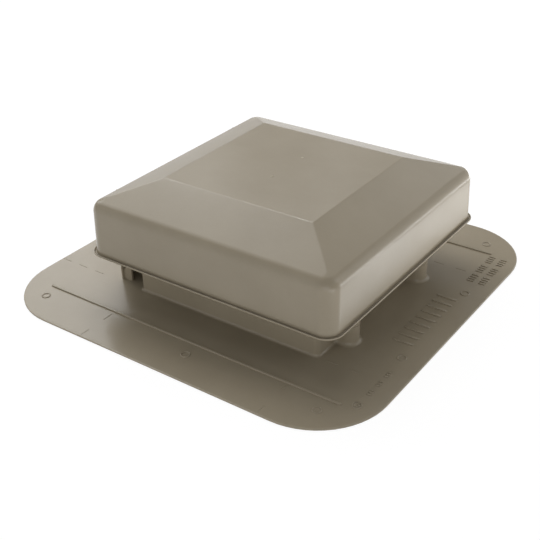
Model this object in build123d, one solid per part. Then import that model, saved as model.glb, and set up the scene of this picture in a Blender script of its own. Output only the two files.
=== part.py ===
from build123d import *
from math import atan2, cos, pi, sin, tan
import os

# Static roof vent, in millimetres. +X points down the roof slope and +Z up from the roof deck.
# The origin is the middle of the flange's underside. Throat, screen and hood share one upright axis.

# Walls, fits, and the sides of a small round mark
FLANGE_THICKNESS = 2.0
WALL = 2.2
FIT = 0.2
MARK_SIDES = 12

# Throat: the square upstand round the hole in the roof
THROAT_WIDTH = 233.8
THROAT_CORNER = 6.0
THROAT_HEIGHT = 60.0
FOOT_FILLET = 2.7

# Flange, measured out from the throat's faces
APRON_UP = 125.1
APRON_DOWN = 92.7
APRON_SIDE = 103.8
FLANGE_CORNER = 78.4
FLANGE_EDGE_BEVEL = 0.8

# Posts on the throat's down-slope face
POST_SPACING = 146.2
POST_WIDTH = 20.0
POST_REACH = 18.9
POST_ROOT_FILLET = 4.0

# Baffle wall under the up-slope edge of the hood
BAFFLE_WIDTH = 223.2
BAFFLE_OFFSET = 34.3
BAFFLE_GAP = 5.0
BAFFLE_CORNER = 12.0

# Snap tongues behind the baffle
TONGUE_WIDTH = 12.0
TONGUE_THICKNESS = 2.5
TONGUE_INSET = 2.0
TONGUE_GAP = 9.0
HEEL_HEIGHT = 11.0
TONGUE_RISE = 26.0
BARB_HEIGHT = 5.0
BARB_REACH = 2.0

# Ledge and nibs that hold the screen
LEDGE_DEPTH = 8.0
LEDGE_WIDTH = 4.0
NIB_LENGTH = 10.0
NIB_REACH = 1.0
NIB_HEIGHT = 2.0
NIB_SPACING = 120.0

# Raised ribs and marks on the flange
RIB_WIDTH = 3.5
RIB_HEIGHT = 1.5
RIB_OFFSET = 49.5
RIB_INSET = 35.0
DASH_LENGTH = 12.5
DASH_WIDTH = 1.4
DASH_HEIGHT = 0.6
DASH_EDGE = 1.2
DASH_START = 9.4
DASH_PITCH_UP = 26.0
DASH_COUNT_UP = 3
DASH_PITCH_DOWN = 27.6
DASH_COUNT_DOWN = 2
DASH_PITCH_SIDE = 35.0
DASH_COUNT_SIDE = 2
DASH_UP_SETBACK = 6.0
NAIL_RING_DIAMETER = 10.5
NAIL_RING_WIDTH = 1.6
NAIL_RING_HEIGHT = 0.8
NAIL_SIDE_INSET = 35.4
NAIL_UP_INSET = 45.5
NAIL_DOWN_INSET = 49.7
NAIL_MIDDLE = 3.6
NAIL_END_INSET = 23.6
NAIL_END_SPACING = 142.4

# Hood, measured out from the throat's faces and up from the flange
LIP_PAST_POSTS = 20.9
HOOD_OVERHANG_SIDE = 36.9
AIR_GAP = 51.6
SKIRT_HEIGHT = 58.4
SKIRT_DRAFT = 1.0
HOOD_CORNER = 15.6
LIP_REACH = 3.6
LIP_THICKNESS = 2.5
LIP_BEVEL = 0.6
ROOF_RISE = 22.3
ROOF_RUN = 59.5
EAVE_FILLET = 10.0
HIP_ROUND = 2.0
SLEEVE_WALL = 2.5
SLEEVE_DROP = 29.6
CATCH_THICKNESS = 2.5
GATE_DIAMETER = 3.4
GATE_HEIGHT = 0.6
GATE_SPACING = 56.6

# Insect screen
SCREEN_THICKNESS = 2.0
SCREEN_RIM = 5.0
SLOT_WIDTH = 5.5
BAR_WIDTH = 2.4
BAY_COUNT = 2
BAY_RIB = 3.0

# Places worked out from the sizes above
THROAT_X = (APRON_UP - APRON_DOWN) / 2
THROAT_HALF = THROAT_WIDTH / 2
THROAT_BORE = THROAT_WIDTH - 2 * WALL
UP_EDGE = -THROAT_HALF - APRON_UP
DOWN_EDGE = THROAT_HALF + APRON_DOWN
SIDE_EDGE = THROAT_HALF + APRON_SIDE
NOSE_X = THROAT_HALF + POST_REACH - POST_WIDTH / 2
LIP_HALF_X = THROAT_HALF + POST_REACH + LIP_PAST_POSTS
LIP_HALF_Y = THROAT_HALF + HOOD_OVERHANG_SIDE
SKIRT_HALF_X = LIP_HALF_X - LIP_REACH
SKIRT_HALF_Y = LIP_HALF_Y - LIP_REACH
LIP_Z = FLANGE_THICKNESS + AIR_GAP
EAVE_Z = LIP_Z + SKIRT_HEIGHT
TOP_Z = EAVE_Z + ROOF_RISE
ROOF_ANGLE = atan2(ROOF_RISE, ROOF_RUN)
EAVE_HALF_ANGLE = (pi / 2 + ROOF_ANGLE) / 2
LEDGE_Z = THROAT_HEIGHT - LEDGE_DEPTH
BAFFLE_X = -THROAT_HALF - BAFFLE_OFFSET + WALL
TONGUE_X = BAFFLE_X + TONGUE_GAP
TONGUE_FRONT = TONGUE_X + TONGUE_THICKNESS
TONGUE_Y = BAFFLE_WIDTH / 2 - TONGUE_INSET - TONGUE_WIDTH / 2
TONGUE_Z = LIP_Z + TONGUE_RISE
BARB_Z = TONGUE_Z - BARB_HEIGHT
SLEEVE_ROOT = THROAT_HALF + POST_ROOT_FILLET + FIT
SLEEVE_Z = LIP_Z - SLEEVE_DROP


def at_throat(shape):
    """Move a shape drawn about the throat's axis to its place in the vent."""
    return Pos(THROAT_X, 0, 0) * shape


def prism(outline, bottom, top):
    """Stand a flat outline up between two heights."""
    return Pos(0, 0, bottom) * extrude(outline, top - bottom)


def rounded(length, width, corner):
    """A flat rectangle with round corners."""
    return RectangleRounded(length, width, corner)


def block(x_range, y_range, z_range):
    """A box between pairs of limits."""
    size = [high - low for low, high in (x_range, y_range, z_range)]
    middle = [(high + low) / 2 for low, high in (x_range, y_range, z_range)]
    return Pos(*middle) * Box(*size)


def post_outline(width):
    """A flat D: straight sides from the throat's axis out to a half-round nose."""
    return Pos(NOSE_X / 2, 0) * Rectangle(NOSE_X, width) + Pos(NOSE_X, 0) * Circle(width / 2)


def beyond(outline, x):
    """The part of a flat outline that lies down-slope of a line."""
    return outline & Pos(x + LIP_HALF_X, 0) * Rectangle(2 * LIP_HALF_X, 2 * LIP_HALF_Y)


def both_sides(shape, offset):
    """Copies of a shape on either side of the slope line."""
    return [Pos(0, side * offset, 0) * shape for side in (-1, 1)]


def flange_plate():
    """The flat flange, with a bevel round its top edge."""
    length = DOWN_EDGE - UP_EDGE
    plate = Pos((UP_EDGE + DOWN_EDGE) / 2, 0, 0) * prism(
        rounded(length, 2 * SIDE_EDGE, FLANGE_CORNER), 0, FLANGE_THICKNESS)
    return chamfer(plate.faces().sort_by(Axis.Z)[-1].edges(), FLANGE_EDGE_BEVEL)


def throat_outline():
    """The throat's square with both posts on it, their roots blended."""
    outline = Sketch() + rounded(THROAT_WIDTH, THROAT_WIDTH, THROAT_CORNER)
    for post in both_sides(post_outline(POST_WIDTH), POST_SPACING / 2):
        outline += post
    reach = POST_SPACING / 2 + POST_WIDTH
    roots = outline.vertices().filter_by(
        lambda v: abs(v.X - THROAT_HALF) < FIT and abs(v.Y) < reach)
    return fillet(roots, POST_ROOT_FILLET)


def raised(outlines, height):
    """Low relief on the flange's upper face, from flat outlines."""
    return [prism(outline, FLANGE_THICKNESS, FLANGE_THICKNESS + height) for outline in outlines]


def guide_ribs():
    """One long rib down each side of the hood."""
    start, end = UP_EDGE + RIB_INSET, DOWN_EDGE - RIB_INSET
    rib = Pos((start + end) / 2, 0) * Rectangle(end - start, RIB_WIDTH)
    return raised(both_sides(rib, THROAT_HALF + RIB_OFFSET), RIB_HEIGHT)


def opening_dashes():
    """Dashes that carry the lines of the roof opening out to the flange's edges."""
    line = THROAT_HALF - WALL / 2
    along = Rectangle(DASH_LENGTH, DASH_WIDTH)
    across = Rectangle(DASH_WIDTH, DASH_LENGTH)
    outermost = DASH_EDGE + DASH_LENGTH / 2
    innermost = THROAT_HALF + DASH_START + DASH_LENGTH / 2
    stations = [UP_EDGE + outermost + n * DASH_PITCH_UP for n in range(DASH_COUNT_UP)]
    stations += [innermost + n * DASH_PITCH_DOWN for n in range(DASH_COUNT_DOWN)]
    dashes = []
    for x in stations:
        dashes += both_sides(Pos(x, 0) * along, line)
    for n in range(DASH_COUNT_SIDE):
        y = SIDE_EDGE - outermost - n * DASH_PITCH_SIDE
        dashes += both_sides(Pos(DASH_UP_SETBACK - line, 0) * across, y)
        dashes += both_sides(Pos(line, 0) * across, y)
    return raised(dashes, DASH_HEIGHT)


def nail_rings():
    """Raised rings that show where the nails go."""
    radius = NAIL_RING_DIAMETER / 2
    ring = RegularPolygon(radius, MARK_SIDES)
    ring -= RegularPolygon(radius - NAIL_RING_WIDTH, MARK_SIDES)
    rings = []
    for x in (UP_EDGE + NAIL_UP_INSET, NAIL_MIDDLE, DOWN_EDGE - NAIL_DOWN_INSET):
        rings += both_sides(Pos(x, 0) * ring, SIDE_EDGE - NAIL_SIDE_INSET)
    for x in (UP_EDGE + NAIL_END_INSET, DOWN_EDGE - NAIL_END_INSET):
        rings += both_sides(Pos(x, 0) * ring, NAIL_END_SPACING / 2)
    return raised(rings, NAIL_RING_HEIGHT)


def baffle_wall():
    """The up-slope baffle, a thin wall with round top corners."""
    height = LIP_Z - BAFFLE_GAP
    face = Plane.YZ * Pos(0, height / 2) * Rectangle(BAFFLE_WIDTH, height)
    wall = Pos(BAFFLE_X - WALL, 0, 0) * extrude(face, WALL)
    corners = wall.edges().filter_by(Axis.X).group_by(Axis.Z)[-1]
    return fillet(corners, BAFFLE_CORNER)


def snap_tongue():
    """One tongue: a heel against the baffle, a sloped shoulder, a thin blade and a barb."""
    heel_top = FLANGE_THICKNESS + HEEL_HEIGHT
    profile = Polyline(
        (BAFFLE_X, 0),
        (BAFFLE_X, heel_top),
        (TONGUE_X, heel_top + TONGUE_X - BAFFLE_X),
        (TONGUE_X, BARB_Z),
        (TONGUE_X - BARB_REACH, BARB_Z),
        (TONGUE_X, TONGUE_Z),
        (TONGUE_FRONT, TONGUE_Z),
        (TONGUE_FRONT, 0),
        close=True,
    )
    face = Plane.XZ * make_face(profile)
    return extrude(face, TONGUE_WIDTH / 2, both=True)


def screen_nib():
    """A wedge on the throat's down-slope inner face that the screen snaps under."""
    face_x = THROAT_BORE / 2
    low = LEDGE_Z + SCREEN_THICKNESS + FIT
    profile = Polyline(
        (face_x, low), (face_x - NIB_REACH, low), (face_x, low + NIB_HEIGHT), close=True)
    return extrude(Plane.XZ * make_face(profile), NIB_LENGTH / 2, both=True)


def flashing_base():
    """Flange, throat, posts, baffle, tongues and screen ledge, as one moulding."""
    base = flange_plate() + prism(throat_outline(), 0, THROAT_HEIGHT)
    reach = THROAT_HALF + POST_REACH + FIT
    foot = base.edges().filter_by(
        lambda e: abs(e.center().Z - FLANGE_THICKNESS) < FIT
        and abs(e.center().X) < reach and abs(e.center().Y) < reach)
    base = fillet(foot, FOOT_FILLET)
    bore_corner = THROAT_CORNER - WALL
    base -= prism(rounded(THROAT_BORE, THROAT_BORE, bore_corner), 0, THROAT_HEIGHT)
    ledge_bore = THROAT_BORE - 2 * LEDGE_WIDTH
    ledge = rounded(THROAT_BORE, THROAT_BORE, bore_corner) - rounded(ledge_bore, ledge_bore, bore_corner)
    base += prism(ledge, LEDGE_Z - WALL, LEDGE_Z)
    for quarter in range(4):
        for nib in both_sides(screen_nib(), NIB_SPACING / 2):
            base += Rot(0, 0, quarter * 90) * nib
    core = prism(beyond(post_outline(POST_WIDTH - 2 * WALL), THROAT_HALF), 0, THROAT_HEIGHT - WALL)
    base -= both_sides(core, POST_SPACING / 2)
    base += baffle_wall()
    base += both_sides(snap_tongue(), TONGUE_Y)
    base += guide_ribs() + opening_dashes() + nail_rings()
    return at_throat(base)


def hood_form(inset):
    """The hood's outer form, or with an inset of one wall the hollow inside it.

    Level outlines are joined by flat slopes. Above the eave the corners run in as cones
    until they are as tight as the hips, which then climb to the flat top. The eave is round
    outside and bevelled inside, by as much as keeps the wall's thickness there.
    """
    slope = tan(ROOF_ANGLE)
    eave = EAVE_Z + inset * (slope - 1 / cos(ROOF_ANGLE))
    top = TOP_Z - inset
    corner = HOOD_CORNER - inset
    eave_inset = inset + SKIRT_DRAFT * (eave - LIP_Z) / SKIRT_HEIGHT
    cone_run = corner - HIP_ROUND
    levels = (
        (LIP_Z, inset, corner),
        (eave, eave_inset, corner),
        (eave + cone_run * slope, eave_inset + cone_run, HIP_ROUND),
        (top, eave_inset + (top - eave) / slope, HIP_ROUND),
    )
    form = loft([
        Pos(0, 0, z) * rounded(2 * (SKIRT_HALF_X - d), 2 * (SKIRT_HALF_Y - d), radius)
        for z, d, radius in levels
    ], ruled=True)
    edges = level_edges(form, eave)
    if not inset:
        return fillet(edges, EAVE_FILLET)
    bevel = (EAVE_FILLET - inset) * (1 / sin(EAVE_HALF_ANGLE) - 1) / cos(EAVE_HALF_ANGLE)
    return chamfer(edges, bevel)


def level_edges(form, height):
    """The edges that lie level at a height."""
    return form.edges().filter_by(
        lambda e: abs(e.bounding_box().min.Z - height) < FIT / 2
        and abs(e.bounding_box().max.Z - height) < FIT / 2)


def post_sleeve():
    """One leg of the hood: a channel that slides down over a post, and the rib that stops on it."""
    inner = POST_WIDTH + 2 * FIT
    channel = post_outline(inner + 2 * SLEEVE_WALL) - post_outline(inner)
    nose = NOSE_X + inner / 2 + SLEEVE_WALL / 2
    leg = prism(beyond(channel, SLEEVE_ROOT), SLEEVE_Z, TOP_Z)
    return leg + block((SLEEVE_ROOT, nose), (-WALL / 2, WALL / 2), (THROAT_HEIGHT, TOP_Z))


def tongue_ledge():
    """The ledge inside the skirt that one barb snaps over."""
    top = BARB_Z - FIT
    half = TONGUE_WIDTH / 2
    return block((WALL / 2 - SKIRT_HALF_X, TONGUE_X - FIT), (-half, half), (top - CATCH_THICKNESS, top))


def tongue_rib():
    """The rib in the hood that rests on top of one tongue."""
    return block((WALL / 2 - SKIRT_HALF_X, TONGUE_FRONT), (-WALL / 2, WALL / 2), (TONGUE_Z, TOP_Z))


def hood():
    """The hipped hood with its drip lip, legs, catches and gate marks, as one moulding."""
    lip = prism(
        rounded(2 * LIP_HALF_X, 2 * LIP_HALF_Y, HOOD_CORNER + LIP_REACH), LIP_Z, LIP_Z + LIP_THICKNESS)
    lip = chamfer(lip.faces().filter_by(Plane.XY).edges(), LIP_BEVEL)
    shell = hood_form(0) + lip - hood_form(WALL)
    fittings = both_sides(post_sleeve(), POST_SPACING / 2)
    fittings += both_sides(tongue_ledge(), TONGUE_Y) + both_sides(tongue_rib(), TONGUE_Y)
    skirt = rounded(2 * SKIRT_HALF_X, 2 * SKIRT_HALF_Y, HOOD_CORNER)
    room = hood_form(WALL / 2) + prism(skirt, SLEEVE_Z, LIP_Z)
    shell += [fitting & room for fitting in fittings]
    gate = prism(RegularPolygon(GATE_DIAMETER / 2, MARK_SIDES), TOP_Z - WALL / 2, TOP_Z + GATE_HEIGHT)
    shell += both_sides(gate, GATE_SPACING / 2)
    return at_throat(shell)


def insect_screen():
    """The slotted grille that lies on the throat's ledge."""
    width = THROAT_BORE - 2 * FIT
    open_width = width - 2 * SCREEN_RIM
    rows = int((open_width + BAR_WIDTH) / (SLOT_WIDTH + BAR_WIDTH))
    slot_length = (open_width - (BAY_COUNT - 1) * BAY_RIB) / BAY_COUNT
    grid = GridLocations(slot_length + BAY_RIB, SLOT_WIDTH + BAR_WIDTH, BAY_COUNT, rows)
    slots = [place * Rectangle(slot_length, SLOT_WIDTH) for place in grid]
    panel = rounded(width, width, THROAT_CORNER - WALL - FIT) - slots
    return at_throat(prism(panel, LEDGE_Z, LEDGE_Z + SCREEN_THICKNESS))


os.makedirs("parts", exist_ok=True)
for build_piece in (flashing_base, hood, insect_screen):
    piece = build_piece()
    export_step(piece, f"parts/{build_piece.__name__}.step")
    print(build_piece.__name__, "solids:", len(piece.solids()), "valid:", piece.is_valid)
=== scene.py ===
# %% [markdown]
# # A static roof vent
#
# A roof vent is two plastic mouldings: a flat flange with a square throat that is nailed over a
# hole in the roof, and a hipped hood that keeps the rain out while air leaves under its lip.
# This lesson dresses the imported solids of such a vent. Every shape is a function of two
# parameters, worked out as one numpy array, so each rounded edge is a real surface.

# %% Load the solids and keep their box
import bpy
import numpy as np
from mathutils import Matrix, Vector


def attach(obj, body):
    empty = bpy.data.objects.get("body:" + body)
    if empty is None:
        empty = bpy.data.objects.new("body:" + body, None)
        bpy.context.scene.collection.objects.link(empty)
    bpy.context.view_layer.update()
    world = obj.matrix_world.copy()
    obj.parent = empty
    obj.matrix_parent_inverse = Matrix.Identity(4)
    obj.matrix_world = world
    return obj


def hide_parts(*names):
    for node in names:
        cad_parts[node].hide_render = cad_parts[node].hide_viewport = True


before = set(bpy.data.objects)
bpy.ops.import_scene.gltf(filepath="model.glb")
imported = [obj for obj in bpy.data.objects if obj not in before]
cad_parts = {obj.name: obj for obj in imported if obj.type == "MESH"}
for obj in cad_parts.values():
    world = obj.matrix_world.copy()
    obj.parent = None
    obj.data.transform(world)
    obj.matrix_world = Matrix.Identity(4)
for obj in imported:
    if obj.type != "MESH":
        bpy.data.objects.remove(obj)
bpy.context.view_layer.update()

MM = 0.001

# %% [markdown]
# ## Moulded plastic
#
# Both mouldings are taupe polypropylene. Close up such plastic has three scales of detail: a fine
# spark-eroded grain copied from the mould, a slow cloudiness where the pigment is not quite even,
# and patches that shine a little more where the melt cooled last. One grey-brown with a number for
# roughness would look like card. So a group of noise textures on Object coordinates drives the
# colour, the roughness and the bump. A vertex attribute adds a painted highlight: it lightens the
# lip's bead, the plate's rim and the stubs on the roof.

# %% A node helper
def link_chain(tree, kind, values, links):
    """Add one node, set its sockets and properties by name, and plug other sockets into it."""
    node = tree.nodes.new(kind)
    for key, value in values.items():
        if isinstance(key, int) or key in node.inputs:
            node.inputs[key].default_value = value
        else:
            setattr(node, key, value)
    for key, source in links.items():
        tree.links.new(source, node.inputs[key])
    return node


# %% The plastic finish
# How far the painted highlight moves the colour towards a lifted pale
HIGHLIGHT_SHARE = 0.35
HIGHLIGHT_LIFT = 1.45
MIX_A, MIX_B, MIX_OUT = 6, 7, 2  # the colour sockets of a Mix node


def moulded_plastic(name, pale, deep, roughness, grain_height):
    """Grained plastic: colour = mix(deep, pale, clouds), paler where a highlight is painted, roughness = base +-
    sheen.

    The bump adds a fine pebble grain, about 0.7 mm, to a long ripple of cooling, about 60 mm.
    """
    material = bpy.data.materials.new(name)
    material.use_nodes = True
    tree = material.node_tree
    shader = tree.nodes["Principled BSDF"]
    place = tree.nodes.new("ShaderNodeTexCoord").outputs["Object"]

    def noise(scale, detail, rough=0.5):
        values = {"Scale": scale, "Detail": detail, "Roughness": rough}
        return link_chain(tree, "ShaderNodeTexNoise", values, {"Vector": place}).outputs["Fac"]

    blend = link_chain(tree, "ShaderNodeMath", {"operation": "MULTIPLY_ADD", 1: 0.25},
                       {0: noise(420.0, 3.0, 0.6), 2: noise(14.0, 5.0, 0.55)})
    even = link_chain(tree, "ShaderNodeMapRange", {"From Min": 0.42, "From Max": 0.84}, {"Value": blend.outputs[0]})
    tint = link_chain(tree, "ShaderNodeMix", {"data_type": "RGBA"}, {0: even.outputs["Result"]})
    tint.inputs[MIX_A].default_value = (*deep, 1)
    tint.inputs[MIX_B].default_value = (*pale, 1)
    # Painted highlight: a vertex attribute mixes a paler colour into the lip's bead, the plate's rim and the roof's
    # stubs
    painted_highlight = link_chain(tree, "ShaderNodeAttribute", {"attribute_name": "painted_highlight"}, {})
    highlight_amount = link_chain(tree, "ShaderNodeMath", {"operation": "MULTIPLY", 1: HIGHLIGHT_SHARE}, {0: painted_highlight.outputs["Fac"]})
    edge = link_chain(tree, "ShaderNodeMix", {"data_type": "RGBA"}, {0: highlight_amount.outputs[0], MIX_A: tint.outputs[MIX_OUT]})
    edge.inputs[MIX_B].default_value = (*[min(1.0, HIGHLIGHT_LIFT * v) for v in pale], 1)
    tree.links.new(edge.outputs[MIX_OUT], shader.inputs["Base Color"])
    sheen = {"From Min": 0.3, "From Max": 0.7, "To Min": roughness - 0.02, "To Max": roughness + 0.015}
    shine = link_chain(tree, "ShaderNodeMapRange", sheen, {"Value": noise(30.0, 3.0)})
    tree.links.new(shine.outputs["Result"], shader.inputs["Roughness"])
    fine = link_chain(tree, "ShaderNodeBump", {"Strength": 0.3, "Distance": grain_height}, {"Height": noise(1400.0, 1.0)})
    slow = link_chain(tree, "ShaderNodeBump", {"Strength": 0.06, "Distance": 0.002},
                      {"Height": noise(16.0, 2.0), "Normal": fine.outputs["Normal"]})
    tree.links.new(slow.outputs["Normal"], shader.inputs["Normal"])
    shader.inputs["Specular IOR Level"].default_value = 0.4
    return material


# %% The two colours of plastic
GRAIN = 0.00005
taupe = moulded_plastic("taupe_plastic", (0.377, 0.325, 0.239), (0.345, 0.296, 0.215), 0.25, GRAIN)
brown = moulded_plastic("screen_plastic", (0.105, 0.088, 0.066), (0.085, 0.070, 0.052), 0.45, GRAIN)
print("finishes:", taupe.name, brown.name)

# %% [markdown]
# ## Rings and skins
#
# Almost everything on the vent is a section carried round a rounded rectangle: the hood, the
# flange with its throat, the ribs and plates. So two helpers do the work. One draws rounded
# rectangles, a whole stack of them at once. The other joins a stack of rings with quads. Blender's
# own Bevel could round the edges of boxes instead, but then the radii would be guesses of the
# modifier, while here each row of the section is placed by a formula.

# %% Rounded rectangles
CORNER_STEPS = 14
SIDE_STEPS = np.concatenate([[0.004, 0.02], np.linspace(0.06, 0.94, 21), [0.98, 0.996]])


def rounded_rings(middle, half_x, half_y, radius, side=SIDE_STEPS, steps=CORNER_STEPS):
    """Rows of rounded rectangles: array[row, point] = (x, y).

    Corner k has its centre at (middle + sx (half_x - r), sy (half_y - r)) and its points are
    centre + r (cos a, sin a), a from k to k + 1 quarter turns. Sides run straight between corners,
    with points crowded near the corners so that flat faces shade flat.
    """
    rows = np.broadcast_arrays(middle, half_x, half_y, radius)
    middle, half_x, half_y, radius = (np.atleast_1d(np.asarray(v, float))[:, None, None] for v in rows)
    sign = np.array([(1, 1), (-1, 1), (-1, -1), (1, -1)], float)
    angle = (np.linspace(0, 1, steps + 1) + np.arange(4)[:, None]) * np.pi / 2
    x = middle + sign[:, :1] * (half_x - radius) + radius * np.cos(angle)
    y = sign[:, 1:] * (half_y - radius) + radius * np.sin(angle)
    corner = np.stack([x, y], -1)
    begin, end = corner[:, :, -1:], np.roll(corner, -1, axis=1)[:, :, :1]
    straight = begin + (end - begin) * side[:, None]
    return np.concatenate([corner, straight], axis=2).reshape(len(x), -1, 2)


# %% Skins over stacks of rings
CREASE = 38.0


def skin(name, grid, looped=False, painted_highlight=None):
    """Mesh stacks of closed rings, grid[stack, row, point] = (x, y, z) in mm, as one taupe piece.

    Quads join ring i to ring i + 1. A looped stack joins its last ring to its first; any other is
    closed by a cap at each end. The signed volume, the sum of a . (b x c) / 6 over triangles, shows
    whether the faces point out, and they are turned round if it is negative. The painted highlight
    takes one value a row.
    """
    grid = np.asarray(grid, float).reshape((-1,) + np.shape(grid)[-3:])
    index = np.arange(grid[..., 0].size).reshape(grid.shape[:3])
    lower = index if looped else index[:, :-1]
    upper = np.roll(index, -1, axis=1) if looped else index[:, 1:]
    quads = np.stack([lower, np.roll(lower, -1, 2), np.roll(upper, -1, 2), upper], -1).reshape(-1, 4)
    caps = np.empty((0, grid.shape[2]), int) if looped else np.concatenate([index[:, 0, ::-1], index[:, -1]])
    points = grid.reshape(-1, 3) * MM
    fans = np.stack([np.repeat(caps[:, :1], caps.shape[1] - 2, 1), caps[:, 1:-1], caps[:, 2:]], -1).reshape(-1, 3)
    a, b, c = points[np.concatenate([quads[:, :3], quads[:, [0, 2, 3]], fans])].transpose(1, 0, 2)
    flip = -1 if np.einsum("ij,ij->", a, np.cross(b, c)) < 0 else 1
    mesh = bpy.data.meshes.new(name)
    mesh.from_pydata(points.tolist(), [], quads[:, ::flip].tolist() + caps[:, ::flip].tolist())
    mesh.shade_smooth()
    mesh.set_sharp_from_angle(angle=np.radians(CREASE))
    # A vertex attribute holds the painted highlight, one value a row
    layer = mesh.attributes.new("painted_highlight", "FLOAT", "POINT")
    highlight_amount = np.zeros(grid.shape[1]) if painted_highlight is None else np.asarray(painted_highlight, float)
    layer.data.foreach_set("value", np.broadcast_to(highlight_amount[:, None], grid.shape[:3]).ravel().astype(np.float32))
    mesh.materials.append(taupe)
    piece = bpy.data.objects.new(name, mesh)
    bpy.context.collection.objects.link(piece)
    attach(piece, "root")
    print(f"{name}: {len(points)} points, {len(mesh.polygons)} faces")
    return piece


# %% Arcs for the rounded edges of a section
def arc(centre, radius, start, stop, steps):
    """Points centre + radius (cos a, sin a) for a from start to stop, in degrees."""
    angle = np.radians(np.linspace(start, stop, steps + 1))
    return np.array(centre) + radius * np.stack([np.cos(angle), np.sin(angle)], -1)


def run(begin, end, fractions):
    """Points on the straight line begin + f (end - begin)."""
    return np.array(begin) + (np.array(end) - np.array(begin)) * np.asarray(fractions, float)[:, None]


# %% [markdown]
# ## The hood
#
# The hood is a thin moulded shell: a drip lip, an upright skirt, a softly rounded eave, four slopes
# that meet in hips, and a flat top. It could be a box with a Bevel modifier, but the eave and the
# hips have different radii. Instead one section, from the middle of the roof down to the lip and
# up the inside again, is carried round the outline. Each point of the section says how far it lies
# inside the lip's outline. Up the skirt the corner keeps its radius, and above the eave it
# shrinks by as much as the outline moves in, so it runs into a tight hip.

# %% Sizes of the hood, in mm
FLANGE_TOP = 2.0
AXIS_X = 16.2
WALL = 2.2
LIP_HALF = (156.7, 153.8)
LIP_Z = 53.6
LIP_THICK = 2.5
LIP_REACH = 3.6
SKIRT_RISE = 58.4
SKIRT_DRAFT = 1.0
SKIRT_CORNER = 15.6
ROOF_RISE = 22.3
ROOF_RUN = 59.5
EAVE_ROUND = 13.0
RIDGE_ROUND = 6.0
HIP_ROUND = 2.0
EDGE_ROUND = 1.1
BEAD_ROUND = 0.42
GROOVE_WIDTH = 2.5
GROOVE_DEPTH = 2.0
TOE_RISE = 2.0
INNER_EDGE = 0.5
# Strength of the painted highlight on the lip's bead and edge round
LIP_HIGHLIGHT = 0.03
PITCH = np.arctan2(ROOF_RISE, ROOF_RUN)
EAVE_Z = LIP_Z + SKIRT_RISE
ROOF_Z = EAVE_Z + ROOF_RISE
print("roof pitch in degrees:", round(float(np.degrees(PITCH)), 1), "top at mm:", ROOF_Z)


# %% Half of the hood's section
def roof_section(inset):
    """(d, z) from the flat top to the foot of the skirt, d measured in from the lip's outline.

    The slope's line is moved in by the wall. Each bend between two straight runs is an arc whose
    tangent length is radius * tan(turn / 2).
    """
    slope = np.tan(PITCH)
    eave_z = EAVE_Z + inset * (slope - 1 / np.cos(PITCH))
    eave_d = LIP_REACH + SKIRT_DRAFT + inset
    top_z = ROOF_Z - inset
    top_d = eave_d + (top_z - eave_z) / slope
    turn = 90 - np.degrees(PITCH)
    bend = EAVE_ROUND - inset
    reach = bend * np.tan(np.radians(turn / 2))
    ridge = RIDGE_ROUND * np.tan(PITCH / 2)
    crown = arc((top_d + ridge, top_z - RIDGE_ROUND), RIDGE_ROUND, 90, 90 + np.degrees(PITCH), 4)
    eave = arc((eave_d + bend, eave_z - reach), bend, 180 - turn, 180, 12)
    tight = eave_d + SKIRT_CORNER - inset - HIP_ROUND
    hip_end = (tight, eave_z + (tight - eave_d) * slope)
    upper = run(crown[-1], hip_end, [0.02, 0.15, 0.4, 0.65, 0.9, 1.0])
    lower = run(hip_end, eave[0], [0.25, 0.5, 0.75, 0.93])
    flat = np.array([(top_d + 14.0, top_z), (top_d + 4.0, top_z), (top_d + ridge + 0.8, top_z)])
    return np.concatenate([flat, crown, upper, lower, eave]), eave_d


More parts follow.
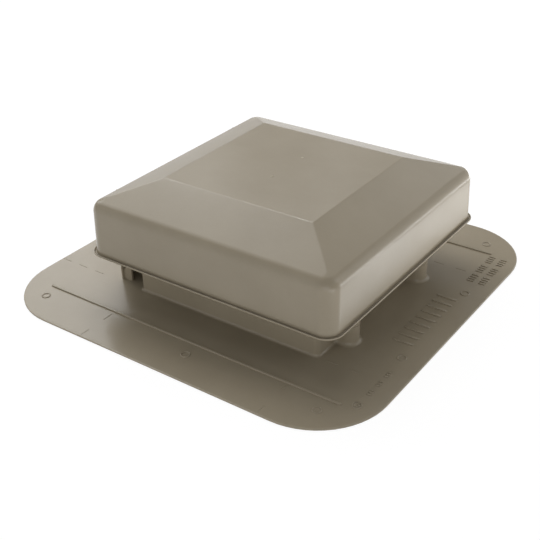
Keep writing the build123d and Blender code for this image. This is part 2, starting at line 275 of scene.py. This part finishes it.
# %% The whole section and its corner radii
def hood_rings():
    """Rings of the hood from the roof's middle, round the lip and up the inside again.

    The skirt's toe swings out as t^2, and between it and the lip's beaded rim a narrow half-oval
    groove holds a shadow.

    radius = skirt corner - (d - eave d) above the eave, never under the hip's; below the eave the
    skirt keeps its corner and the lip adds its reach.
    """
    outer, outer_d = roof_section(0.0)
    inner, inner_d = roof_section(WALL)
    lip_top = LIP_Z + LIP_THICK
    bead_z = lip_top - BEAD_ROUND
    skirt = run(outer[-1], (LIP_REACH, lip_top + TOE_RISE), [0.02, 0.2, 0.4, 0.6, 0.8, 0.95, 1.0])
    half = GROOVE_WIDTH / 2
    middle = 2 * BEAD_ROUND + half
    t = np.linspace(0.0, 1.0, 6)[1:, None]
    toe_d = LIP_REACH - (LIP_REACH - middle - half) * t ** 2
    toe = np.concatenate([toe_d, lip_top + TOE_RISE - (TOE_RISE + BEAD_ROUND) * t], 1)
    dip = arc((0.0, 0.0), 1.0, 0, -180, 8)[1:-1] * (half, GROOVE_DEPTH - BEAD_ROUND) + (middle, bead_z)
    cove = np.concatenate([toe, dip])
    nose = np.concatenate([
        arc((BEAD_ROUND, bead_z), BEAD_ROUND, 0, 180, 8),
        arc((EDGE_ROUND, LIP_Z + EDGE_ROUND), EDGE_ROUND, 180, 270, 5)])
    foot = arc((LIP_REACH + WALL - INNER_EDGE, LIP_Z + INNER_EDGE), INNER_EDGE, -90, 0, 3)
    inside = run((LIP_REACH + WALL, LIP_Z + 1.5), inner[-1], [0.0, 0.02, 0.3, 0.6, 0.9, 0.98])
    section = np.concatenate([outer, skirt, cove, nose, foot, inside, inner[::-1]])
    radius = np.concatenate([
        np.maximum(SKIRT_CORNER - (outer[:, 0] - outer_d), HIP_ROUND),
        np.full(len(skirt), SKIRT_CORNER),
        SKIRT_CORNER + LIP_REACH - np.concatenate([cove, nose, foot])[:, 0],
        np.full(len(inside), SKIRT_CORNER - WALL),
        np.maximum(SKIRT_CORNER - WALL - (inner[::-1, 0] - inner_d), HIP_ROUND)])
    d, z = section.T
    flat = rounded_rings(AXIS_X, LIP_HALF[0] - d, LIP_HALF[1] - d, radius)
    painted_highlight = np.zeros(len(d))
    first = len(outer) + len(skirt) + len(cove)
    # The lip's bead and edge round get a painted highlight
    painted_highlight[first:first + len(nose)] = LIP_HIGHLIGHT
    return np.concatenate([flat, np.broadcast_to(z[:, None, None], flat.shape[:2] + (1,))], -1), painted_highlight


# %% Make the hood
hood_grid, hood_painted_highlight = hood_rings()
hood_shell = skin("hood_shell", hood_grid, painted_highlight=hood_painted_highlight)
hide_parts("hood")

# %% [markdown]
# ## The flange and the throat
#
# The base is one moulding: a flat plate with big round corners, and a square throat that rises
# from it through a small foot radius. A plate and a square tube joined by a Boolean would do, but
# the join would be a hard line. Here the section starts under the plate's rim, runs over the rim,
# in across the plate, up the foot radius and the throat, over the throat's top, down past the
# screen's ledge, and back under the plate to where it began. The rings change from
# the plate's outline to the throat's on the way, so the stack closes on itself like a tyre.

# %% Sizes of the base, in mm
PLATE_HALF = (225.8, 220.7)
PLATE_CORNER = 78.4
THROAT_HALF = 116.9
THROAT_CORNER = 6.0
THROAT_Z = 60.0
FOOT_ROUND = 2.7
RIM_ROUND = 0.7
THROAT_EDGE = 0.6
LEDGE_Z = 52.0
LEDGE_WIDTH = 4.0
# Strength of the painted highlight along the plate's rounded rim
RIM_HIGHLIGHT = 0.6
SINK = 0.6  # how far a raised form is rooted in what it stands on
ROOT_Z = 0.5  # where upright walls start, inside the plate


# %% The base's rings
def base_rings():
    """Rings of the base: (middle, half x, half y, corner, z) for each point of the section.

    Points on the plate's rim move in by e from the plate's outline. Points on the throat stand e
    out from its face. The flat between them is a straight blend of both outlines.
    """
    rim = arc((RIM_ROUND, FLANGE_TOP - RIM_ROUND), RIM_ROUND, 180, 90, 4)
    rim = np.concatenate([[(0.3, 0.0), (0.0, 0.3)], rim, [(1.6, FLANGE_TOP)]])
    e, z = rim.T
    plate = np.stack([np.zeros(len(rim)), PLATE_HALF[0] - e, PLATE_HALF[1] - e, PLATE_CORNER - e, z], -1)
    foot = arc((FOOT_ROUND, FLANGE_TOP + FOOT_ROUND), FOOT_ROUND, 270, 180, 6)
    top = arc((-THROAT_EDGE, THROAT_Z - THROAT_EDGE), THROAT_EDGE, 0, 90, 3)
    lid = arc((THROAT_EDGE - WALL, THROAT_Z - THROAT_EDGE), THROAT_EDGE, 90, 180, 3)
    shelf, lip = LEDGE_Z - WALL, -WALL - LEDGE_WIDTH
    bore = [(-WALL, LEDGE_Z + 0.3), (-WALL, LEDGE_Z), (lip, LEDGE_Z), (lip, shelf), (-WALL, shelf), (-WALL, 0.0)]
    rise = run(foot[-1], top[0], [0.01, 0.25, 0.5, 0.75, 0.99])
    wall = np.concatenate([[(FOOT_ROUND + 0.8, FLANGE_TOP)], foot, rise, top, lid, bore])
    throat = np.stack([np.full(len(wall), AXIS_X), THROAT_HALF + wall[:, 0], THROAT_HALF + wall[:, 0],
                       np.maximum(THROAT_CORNER + wall[:, 0], 1.2), wall[:, 1]], -1)
    deck = run(plate[-1], throat[0], np.linspace(0, 1, 9)[1:-1])
    under = run(throat[-1], plate[0], np.linspace(0, 1, 9)[1:-1])
    rows = np.concatenate([plate, deck, throat, under])
    flat = rounded_rings(*rows[:, :4].T)
    painted_highlight = np.zeros(len(rows))
    # The plate's rim rows get a painted highlight
    painted_highlight[1:len(rim) - 1] = RIM_HIGHLIGHT
    return np.concatenate([flat, np.broadcast_to(rows[:, None, 4:], flat.shape[:2] + (1,))], -1), painted_highlight


# %% Make the base
base_grid, base_painted_highlight = base_rings()
flange = skin("flange_and_throat", base_grid, looped=True, painted_highlight=base_painted_highlight)
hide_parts("flashing_base")

# %% [markdown]
# ## Posts and legs
#
# Two posts stand on the throat's down-slope face. In plan each is a D: straight sides that flare
# into the throat, and a half-round nose. The hood's legs are channels of the same plan that
# slide down over them. Both are upright prisms, so one helper carries a plan between two heights,
# with a foot that spreads where it meets the plate.

# %% Plans of post and leg
POST_Y = 73.1
POST_HALF = 10.0
POST_NOSE = 125.8
ROOT_ROUND = 4.0
POST_FOOT = 4.0
POST_SHOULDER = 1.2
LEG_GAP = 0.2
LEG_WALL = 1.3
LEG_Z = 24.0
LEG_ROOT = 121.1


def post_plan(half, root, flare):
    """Closed D in plan: root line, side, half-round nose and back. The sides flare near the throat
    by flare - sqrt(flare^2 - (flare - s)^2), with s the distance from the throat's face."""
    nose = arc((POST_NOSE, 0.0), half, -90, 90, 24)
    s = np.linspace(0, 1, 9)[:, None] * ROOT_ROUND
    spread = flare * (1 - np.sqrt(np.clip(1 - (1 - s / ROOT_ROUND) ** 2, 0, 1)))
    side = np.concatenate([THROAT_HALF + s, half + spread], 1) if flare else np.array([(root, half)])
    tail = np.array([(root, half + flare)]) if flare else np.empty((0, 2))
    up = np.concatenate([tail, side])
    return np.concatenate([up * (1, -1), nose, up[::-1]])


# %% Make the posts
def post_rings(side_y):
    """Rings of a post: the plan grown by a shoulder below the leg, and by the foot's arc at the plate."""
    foot = arc((POST_SHOULDER + POST_FOOT, FLANGE_TOP + POST_FOOT), POST_FOOT, 262, 180, 8)
    collar = [(POST_SHOULDER, LEG_Z - 0.6), (0.0, LEG_Z - 0.1)]
    rise = run(foot[-1], collar[0], [0.02, 0.5, 0.98])
    head = [(0.0, THROAT_Z - 0.5), (-0.5, THROAT_Z)]
    section = np.concatenate([[(foot[0, 0], FLANGE_TOP - SINK)], foot, rise, collar, head])
    plan = post_plan(POST_HALF, THROAT_HALF - 1.0, ROOT_ROUND)
    x, y = plan.T
    out_y = np.where(x > POST_NOSE, y, np.sign(y) * POST_HALF)
    away = np.stack([np.clip(x - POST_NOSE, 0, None), out_y], -1) / POST_HALF
    ring = plan + section[:, :1, None] * away
    ring = np.stack([ring[..., 0] + AXIS_X, ring[..., 1] + side_y], -1)
    return np.concatenate([ring, np.broadcast_to(section[:, None, 1:], ring.shape[:2] + (1,))], -1)


skin("throat_posts", np.stack([post_rings(-POST_Y), post_rings(POST_Y)]))


# %% The underside of the roof, for what hangs from it
ROOF_BITE = 0.8  # how far what hangs from the roof is rooted in it


def under_roof(x, y):
    """Height of the roof's inner face above a plan point, worked out from its distance to the lip.

    It is the height of the flat slope or top, and leaves out the eave's round.
    """
    d = np.minimum(LIP_HALF[0] - np.abs(x - AXIS_X), LIP_HALF[1] - np.abs(y))
    rise = EAVE_Z + (d - LIP_REACH - SKIRT_DRAFT) * np.tan(PITCH)
    return np.minimum(rise - WALL / np.cos(PITCH), ROOF_Z - WALL)


# %% Make the hood's legs
def leg_rings(side_y):
    """Rings of a leg: a U-shaped plan between its foot and the underside of the roof."""
    inner = POST_HALF + LEG_GAP
    plan = np.concatenate([post_plan(inner + LEG_WALL, LEG_ROOT, 0.0), post_plan(inner, LEG_ROOT, 0.0)[::-1]])
    x, y = plan[:, 0] + AXIS_X, plan[:, 1] + side_y
    t = np.array([0.0, 0.005, 0.2, 0.6, 1.0])[:, None]
    z = LEG_Z + t * (under_roof(x, y) + ROOF_BITE - LEG_Z)
    pinch = np.array([0.25, 0.0, 0.0, 0.0, 0.0])[:, None]
    middle = np.array([POST_NOSE + AXIS_X, side_y])
    shift = np.stack([x, y], -1) - middle
    length = np.linalg.norm(shift, axis=1)[:, None]
    grow = np.where(length > inner + LEG_WALL / 2, -1.0, 1.0) * shift / length
    plan_rows = np.stack([x, y], -1) + pinch[..., None] * grow
    return np.concatenate([plan_rows, z[..., None]], -1)


skin("hood_legs", np.stack([leg_rings(-POST_Y), leg_rings(POST_Y)]))

# %% [markdown]
# ## Baffle, tongues and catches
#
# Up-slope, a thin baffle wall with round shoulders stands under the hood's edge and keeps driven
# rain off the throat. Behind it two thin tongues rise into the hood and snap over ledges
# inside the skirt. A solidified plane would do for the wall. A closed outline carried through its
# thickness, with the edge drawn in a little at each face, gives softened edges as well.

# %% A flat outline given a thickness
def slab(outline, low, high, soft, axes):
    """Rings of a slab: outline[point] = (u, v), drawn in by `soft` at both faces, between low and high.

    The inward direction at a point is the sum of the normals of its two neighbours' edges. axes says
    which of x, y, z the slab's u, v and thickness run along.
    """
    outline = np.asarray(outline, float)
    edge = np.roll(outline, -1, 0) - outline
    edge /= np.linalg.norm(edge, axis=1)[:, None]
    normal = np.stack([-edge[:, 1], edge[:, 0]], -1)
    inward = normal + np.roll(normal, 1, 0)
    inward /= np.maximum((inward ** 2).sum(1) / 2, 0.4)[:, None]
    turn = np.sign((outline[:, 0] * np.roll(outline[:, 1], -1) - outline[:, 1] * np.roll(outline[:, 0], -1)).sum())
    angle = np.radians([0, 30, 60, 90])
    draw = np.concatenate([soft * (1 - np.sin(angle)), soft * (1 - np.sin(angle[::-1]))])
    level = np.concatenate([low + soft * (1 - np.cos(angle)), high - soft * (1 - np.cos(angle[::-1]))])
    ring = outline + turn * inward * draw[:, None, None]
    full = np.concatenate([ring, np.broadcast_to(level[:, None, None], ring.shape[:2] + (1,))], -1)
    return full[..., np.argsort(axes)]


# %% Make the baffle
BAFFLE_HALF = 111.6
BAFFLE_TOP = LIP_Z - 5.0
BAFFLE_FACE = -151.2
BAFFLE_SOFT = 0.5
SHOULDER = 12.0
baffle_outline = np.concatenate([
    [(-BAFFLE_HALF, ROOT_Z), (BAFFLE_HALF, ROOT_Z)],
    arc((BAFFLE_HALF - SHOULDER, BAFFLE_TOP - SHOULDER), SHOULDER, 0, 90, 12),
    arc((SHOULDER - BAFFLE_HALF, BAFFLE_TOP - SHOULDER), SHOULDER, 90, 180, 12)])
baffle_x = AXIS_X + BAFFLE_FACE
skin("rain_baffle", slab(baffle_outline, baffle_x, baffle_x + WALL, BAFFLE_SOFT, (1, 2, 0)))

# %% Make the tongues
TONGUE_Y = 103.6
TONGUE_WIDTH = 3.0
CATCH_HALF = 6.0
CATCH_THICK = 2.5
BARB = 2.0
SNAP_GAP = 0.2
SLAB_SOFT = 0.4
TONGUE_BACK = -140.0
TONGUE_FRONT = -137.5
TONGUE_Z = LIP_Z + 26.0
HEEL_Z = FLANGE_TOP + 11.0
barb_z = TONGUE_Z - 5.0
heel_back = BAFFLE_FACE + WALL - SINK
tongue_side = np.array([
    (heel_back, ROOT_Z), (heel_back, HEEL_Z), (TONGUE_BACK, HEEL_Z + TONGUE_BACK - heel_back), (TONGUE_BACK, barb_z),
    (TONGUE_BACK - BARB, barb_z), (TONGUE_BACK, TONGUE_Z), (TONGUE_FRONT, TONGUE_Z), (TONGUE_FRONT, ROOT_Z)])
tongue_side += (AXIS_X, 0.0)
outer = TONGUE_Y + CATCH_HALF
spans = [(-outer, TONGUE_WIDTH - outer), (outer - TONGUE_WIDTH, outer)]
tongue_stack = np.stack([slab(tongue_side, begin, end, SLAB_SOFT, (0, 2, 1)) for begin, end in spans])
skin("snap_tongues", tongue_stack)

# %% Make the catches inside the hood
skirt_inside = WALL / 2 - LIP_HALF[0] + LIP_REACH
ledge_end, ledge_top = TONGUE_BACK - SNAP_GAP, barb_z - SNAP_GAP
ledge_plan = np.array([(skirt_inside, -CATCH_HALF), (ledge_end, -CATCH_HALF),
                       (ledge_end, CATCH_HALF), (skirt_inside, CATCH_HALF)])
ledge_stack = np.stack([slab(ledge_plan + (AXIS_X, y), ledge_top - CATCH_THICK, ledge_top, SLAB_SOFT, (0, 1, 2))
                        for y in (-TONGUE_Y, TONGUE_Y)])
skin("tongue_catches", ledge_stack)


# %% Make the ribs that rest on posts and tongues
def stop_rib(begin, end, foot_z):
    """Side view of a rib under the roof: a foot at foot_z, and a top that follows the slope's underside."""
    x = np.linspace(begin, end, 7) + AXIS_X
    top = under_roof(x, np.zeros(7)) + ROOF_BITE
    return np.concatenate([[(x[0], foot_z), (x[-1], foot_z)], np.stack([x, top], -1)[::-1]])


LEG_FRONT = 137.0
rib_runs = [(stop_rib(LEG_ROOT, LEG_FRONT, THROAT_Z), POST_Y),
            (stop_rib(skirt_inside, TONGUE_FRONT, TONGUE_Z), TONGUE_Y)]
rib_stack = np.stack([slab(side_view, sign * y - WALL / 2, sign * y + WALL / 2, SLAB_SOFT, (0, 2, 1))
                      for side_view, y in rib_runs for sign in (-1, 1)])
skin("stop_ribs", rib_stack)

# %% [markdown]
# ## Marks on the flange
#
# The plate carries two long guide ribs, dashes that show the opening's lines, rings for the nails
# and rows of plain bars. They are all low relief in the same plastic. A bump texture could fake
# them, but their edges catch the light from a low side, so they are real: small pads with
# a rounded top. A mark that is repeated is worked out once and copied by adding an array of places.

# %% Low pads
def pad(outline, height, soft):
    """Rings of a low pad: the outline, then the same drawn in along a quarter arc to its top.

    The draw-in is soft (1 - cos a) and the rise height - soft + soft sin a.
    """
    angle = np.radians(np.linspace(0, 90, 5))
    draw = np.concatenate([[0.0], soft * (1 - np.cos(angle))])
    level = np.concatenate([[-SINK], height - soft + soft * np.sin(angle)]) + FLANGE_TOP
    outline = np.asarray(outline, float)
    edge = np.roll(outline, -1, 0) - np.roll(outline, 1, 0)
    inward = np.stack([-edge[:, 1], edge[:, 0]], -1) / np.linalg.norm(edge, axis=1)[:, None]
    ring = outline + inward * draw[:, None, None]
    return np.concatenate([ring, np.broadcast_to(level[:, None, None], ring.shape[:2] + (1,))], -1)


def small_plate(length, width, corner):
    """Outline of a plate with round corners, about the origin."""
    return rounded_rings(0.0, length / 2, width / 2, corner, side=np.array([0.1, 0.5, 0.9]), steps=5)[0]


def placed(rings, places):
    """Copies of rings, moved to each (x, y)."""
    shift = np.concatenate([np.asarray(places, float), np.zeros((len(places), 1))], 1)
    return rings + shift[:, None, None, :]


# %% Make the guide ribs
RIB_WIDTH = 3.5
RIB_HEIGHT = 1.5
RIB_SOFT = 0.7
RIB_Y = 166.4
RIB_INSET = 35.0
rib_outline = rounded_rings(0.0, PLATE_HALF[0] - RIB_INSET, RIB_WIDTH / 2, RIB_WIDTH / 2 - 0.05, steps=8)[0]
rib_places = [(0.0, side * RIB_Y) for side in (-1, 1)]
skin("guide_ribs", placed(pad(rib_outline, RIB_HEIGHT, RIB_SOFT), rib_places))

# %% Make the dashes
LINE = THROAT_HALF - WALL / 2
DASH_SIZE = (12.5, 1.4, 0.6)
DASH_HEIGHT = 0.3
DASH_SOFT = 0.28
DASH_EDGE = 7.45
DASH_THROAT = 15.65
STEP_UP, STEP_DOWN, STEP_SIDE = 26.0, 27.6, 35.0
CROSS_SHIFT = 6.0
dash_up = -PLATE_HALF[0] + DASH_EDGE + STEP_UP * np.arange(3)
dash_down = AXIS_X + THROAT_HALF + DASH_THROAT + STEP_DOWN * np.arange(2)
dash_x = np.concatenate([dash_up, dash_down])
dash_y = PLATE_HALF[1] - DASH_EDGE - STEP_SIDE * np.arange(2)
along = [(x, side * LINE) for x in dash_x for side in (-1, 1)]
across = [(AXIS_X + x, side * y) for x in (CROSS_SHIFT - LINE, LINE) for y in dash_y for side in (-1, 1)]
dash = small_plate(*DASH_SIZE)
turned = dash[::-1, ::-1]
dash_rings = [placed(pad(plan, DASH_HEIGHT, DASH_SOFT), places) for plan, places in ((dash, along), (turned, across))]
skin("opening_dashes", np.concatenate(dash_rings))


# %% Make the nail rings
def ring_of_wire(radius, wire, height):
    """Rings of a torus: centre line of that radius, section (wire cos b, height sin b)."""
    a = np.linspace(0, 2 * np.pi, 33)[:-1]
    b = np.linspace(0, 2 * np.pi, 13)[:-1][:, None]
    reach = radius + wire * np.cos(b)
    return np.stack([reach * np.cos(a), reach * np.sin(a), FLANGE_TOP + height * np.sin(b) + 0.0 * a], -1)


NAIL_RADIUS = 4.45
WIRE = 0.8
NAIL_SIDE = 35.4
NAIL_UP, NAIL_MIDDLE, NAIL_DOWN = 45.5, 3.6, 49.7
NAIL_END = (23.6, 71.2)
nail_y = PLATE_HALF[1] - NAIL_SIDE
nail_x = np.array([-PLATE_HALF[0] + NAIL_UP, AXIS_X + NAIL_MIDDLE, PLATE_HALF[0] - NAIL_DOWN])
nail_places = [(x, side * nail_y) for x in nail_x for side in (-1, 1)]
nail_places += [(side * (PLATE_HALF[0] - NAIL_END[0]), half * NAIL_END[1]) for side in (-1, 1) for half in (-1, 1)]
skin("nail_rings", placed(ring_of_wire(NAIL_RADIUS, WIRE, WIRE), nail_places), looped=True)


# %% Make the plain bars
BAR_SOFT = 0.4


def bars(size, height, places):
    """Raised bars, size = (length, width, corner), at each place about the throat's axis."""
    return placed(pad(small_plate(*size), height, BAR_SOFT * height), np.asarray(places, float) + (AXIS_X, 0.0))


WIDE_BAR, WIDE_HEIGHT = (23.0, 3.6, 1.7), 0.85
TAG_BAR, TAG_HEIGHT = (8.0, 2.0, 0.9), 0.9
LINE_BAR, LINE_HEIGHT = (4.6, 1.7, 0.8), 0.8
wide_places = [(173.5, 3.5 + 12.4 * k) for k in np.arange(-4, 5)]
tag_places = [(x, y + 4.6 * k) for x in (179.0, 192.5) for y in (106.0, 129.5, 153.5)
              for k in (-1.5, -0.5, 0.5, 1.5)]
line_places = [(188.0, y + 3.6 * k) for y in (-136.0, -119.5, -103.0) for k in (-1, 0, 1)]
skin("wide_bars", bars(WIDE_BAR, WIDE_HEIGHT, wide_places))
skin("tag_bars", bars(TAG_BAR, TAG_HEIGHT, tag_places))
skin("line_bars", bars(LINE_BAR, LINE_HEIGHT, line_places))

# %% Make the mould disc
DISC_HEIGHT = 0.7
disc_place = [(AXIS_X + 186.7, -159.2)]
disc_rings = [placed(ring_of_wire(radius, WIRE, DISC_HEIGHT), disc_place) for radius in (4.7, 2.2)]
skin("mould_disc", np.concatenate(disc_rings), looped=True)

# %% [markdown]
# ## Gate marks on the roof
#
# Where the plastic entered the mould, two small stubs are left on the flat top. They are turned
# shapes: a low dome on a short foot, spun round its own axis, and painted paler as a highlight.

# %% Make the gate marks
GATE_RADIUS = 1.7
GATE_HEIGHT = 0.5
# Strength of the painted highlight that makes the stubs look lit
GATE_HIGHLIGHT = 2.0


def gate_rings():
    """Rings of a stub: radius R cos b and height H sin b over a short straight foot."""
    b = np.radians([0, 25, 45, 60, 72, 82])
    radius = GATE_RADIUS * np.concatenate([[1.0], np.cos(b)])[:, None]
    height = GATE_HEIGHT * np.concatenate([[-1.0], np.sin(b)])[:, None]
    a = np.linspace(0, 2 * np.pi, 25)[:-1]
    return np.stack([radius * np.cos(a), radius * np.sin(a), ROOF_Z + height + 0.0 * a], -1)


gate_stub = gate_rings()
gate_places = [(AXIS_X + 1.0, y) for y in (30.5, -26.5)]
skin("gate_marks", placed(gate_stub, gate_places), painted_highlight=np.full(len(gate_stub), GATE_HIGHLIGHT))

# %% [markdown]
# ## The screen
#
# The slotted screen on the throat's ledge already has its right shape as a solid, a thin panel with
# two bays of slots. It keeps its mesh and only takes the darker plastic.

# %% Dress the screen
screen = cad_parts["insect_screen"]
for part_slot in screen.material_slots:
    part_slot.material = brown
print("screen slots:", len(screen.material_slots))

# %% [markdown]
# ## Camera
#
# The camera stands high in front of the vent's near corner, with a long lens, and leans a little.

# %% Place the camera
view = bpy.data.cameras.new("view")
view.sensor_width = 36.0
LEAN = -1.4718
view.lens = 62.836
eye, aim = Vector((0.542124, -0.754413, 0.554878)), Vector((-0.004912, -0.004328, 0.002))
camera = bpy.data.objects.new("view", view)
bpy.context.collection.objects.link(camera)
turn = (aim - eye).to_track_quat("-Z", "Y").to_matrix().to_4x4()
lean = Matrix.Rotation(np.radians(LEAN), 4, "Z")
camera.matrix_world = Matrix.Translation(eye) @ turn @ lean
bpy.context.scene.camera = camera
print("camera at", [round(v, 3) for v in eye])

# %% [markdown]
# ## Floor and world
#
# The vent lies on a white sheet. Towards the camera, and in mirrors and glass, the sheet glows white,
# and a little of its own shading is added so that a trace of shadow stays under the rim. To
# every other ray it is plain white paper that hands light back to the skirt from below. The sheet
# ends soon behind the vent, so that the far slopes of the roof mirror the dim room and stay warm.

# %% The floor
floor_mesh = bpy.data.meshes.new("floor")
SHEET_X = (-1.5, 2.0)
SHEET_Y = (-2.0, 1.7)
SHEET_DROP = 0.0004
sheet_corners = [(SHEET_X[i], SHEET_Y[j], 0.0) for i, j in ((0, 0), (1, 0), (1, 1), (0, 1))]
floor_mesh.from_pydata(sheet_corners, [], [(0, 1, 2, 3)])
floor = bpy.data.objects.new("floor", floor_mesh)
floor.location.z = -SHEET_DROP
bpy.context.collection.objects.link(floor)
sheet = bpy.data.materials.new("white_sheet")
sheet.use_nodes = True
sheet_tree = sheet.node_tree
paper = sheet_tree.nodes["Principled BSDF"]
paper.inputs["Base Color"].default_value = (0.8, 0.8, 0.8, 1)
paper.inputs["Roughness"].default_value = 1.0
paper.inputs["Specular IOR Level"].default_value = 0.0
rays = sheet_tree.nodes.new("ShaderNodeLightPath").outputs
either = {"operation": "MAXIMUM"}
seen = link_chain(sheet_tree, "ShaderNodeMath", either, {0: rays["Is Camera Ray"], 1: rays["Is Glossy Ray"]})
seen = link_chain(sheet_tree, "ShaderNodeMath", either, {0: seen.outputs[0], 1: rays["Is Transmission Ray"]})
glow = link_chain(sheet_tree, "ShaderNodeEmission", {"Strength": 0.93}, {})
trace = link_chain(sheet_tree, "ShaderNodeBsdfDiffuse", {}, {})
trace.inputs["Color"].default_value = (0.12, 0.12, 0.12, 1)
white = link_chain(sheet_tree, "ShaderNodeAddShader", {}, {0: glow.outputs[0], 1: trace.outputs[0]})
mixer = link_chain(sheet_tree, "ShaderNodeMixShader", {}, {0: seen.outputs[0], 1: paper.outputs[0], 2: white.outputs[0]})
sheet_tree.links.new(mixer.outputs[0], sheet_tree.nodes["Material Output"].inputs["Surface"])
floor_mesh.materials.append(sheet)

# %% The world
ROOM_LIGHT = 0.196
world = bpy.data.worlds.new("studio")
bpy.context.scene.world = world
world.use_nodes = True
world.node_tree.nodes["Background"].inputs["Color"].default_value = (1, 1, 1, 1)
world.node_tree.nodes["Background"].inputs["Strength"].default_value = ROOM_LIGHT
bpy.context.scene.view_settings.view_transform = "Standard"

# %% [markdown]
# ## Lamps
#
# Semi-gloss plastic is drawn by what it mirrors. A single sun would leave the flange dead, because the
# camera sees in it the far wall and the hood. So a curved wall of tall strips stands behind: its
# left end is brightest, and the flange's left side mirrors that end while its right side mirrors the
# hood. Square soft boxes light the roof. Wide, low ones stand in front and at the right, and their
# light fades along the rounded eave. Cards on the floor, beside the flange and behind it, lift the
# right skirt, which the soft boxes leave dark.

# %% A soft box that faces the vent
LAMP_DISTANCE = 2.2


def soft_box(name, azimuth, climb, watts, size):
    """An area lamp in a ring round the vent, at an azimuth from +X towards +Y and a climb over the floor."""
    a, e = np.radians([azimuth, climb])
    away = Vector((np.cos(a) * np.cos(e), np.sin(a) * np.cos(e), np.sin(e)))
    box = bpy.data.lights.new(name, "AREA")
    box.shape, box.energy = "RECTANGLE", watts
    box.size, box.size_y = size
    holder = bpy.data.objects.new(name, box)
    holder.location = Vector((AXIS_X * MM, 0, 0.05)) + LAMP_DISTANCE * away
    holder.rotation_euler = (-away).to_track_quat("-Z", "Y").to_euler()
    holder.visible_camera = False
    bpy.context.collection.objects.link(holder)
    return holder


# %% Soft boxes and the wall of strips
SQUARE, WIDE, STRIP, SHORT = (1.15, 1.15), (2.1, 0.8), (0.5, 1.1), (0.5, 0.5)
STRIP_CLIMB, SHORT_CLIMB = 28, 45
boxes = [("roof_key", 135, 62, 5.2), ("left_key", 180, 50, 6.5),
         ("back_high", 90, 62, 2.4), ("right_high", 30, 36, 3.9)]
wide = [("front_left", 240, 8, 3.2), ("front_upper", 236, 30, 1.8), ("front_right", 300, 8, 8.2),
        ("right_low", 54, 5, 4.6), ("right_mid", 62, 25, 3.0)]
tall = [(90, 1.75), (114, 0.74), (126, 0.47), (138, 1.46), (150, 4.4), (174, 5.1)]
upper = [(126, 4.8), (154, 3.4)]
lamps = [soft_box(*box, SQUARE) for box in boxes]
lamps += [soft_box(*box, WIDE) for box in wide]
lamps += [soft_box(f"tall_{a}", a, STRIP_CLIMB, watts, STRIP) for a, watts in tall]
lamps += [soft_box(f"upper_{a}", a, SHORT_CLIMB, watts, SHORT) for a, watts in upper]


# %% Cards that lie on the floor and shine up
CARD_Z = 0.001


def floor_card(name, x_range, y_range, watts):
    """An area lamp flat on the floor between limits in mm."""
    card = soft_box(name, 0, 0, watts, ((x_range[1] - x_range[0]) * MM, (y_range[1] - y_range[0]) * MM))
    card.location = (sum(x_range) / 2 * MM, sum(y_range) / 2 * MM, CARD_Z)
    card.rotation_euler = (np.pi, 0, 0)
    return card


cards = [("edge_strip", (228, 268), (-60, 180), 0.043), ("edge_strip_back", (228, 268), (180, 340), 0.039),
         ("edge_card", (268, 340), (60, 180), 0.0625), ("right_card", (386, 686), (150, 450), 1.12),
         ("corner_card", (386, 686), (-450, -150), 0.79), ("back_card", (0, 700), (450, 1150), 5.4)]
lamps += [floor_card(*card) for card in cards]
print("lamps:", [lamp.name for lamp in lamps])
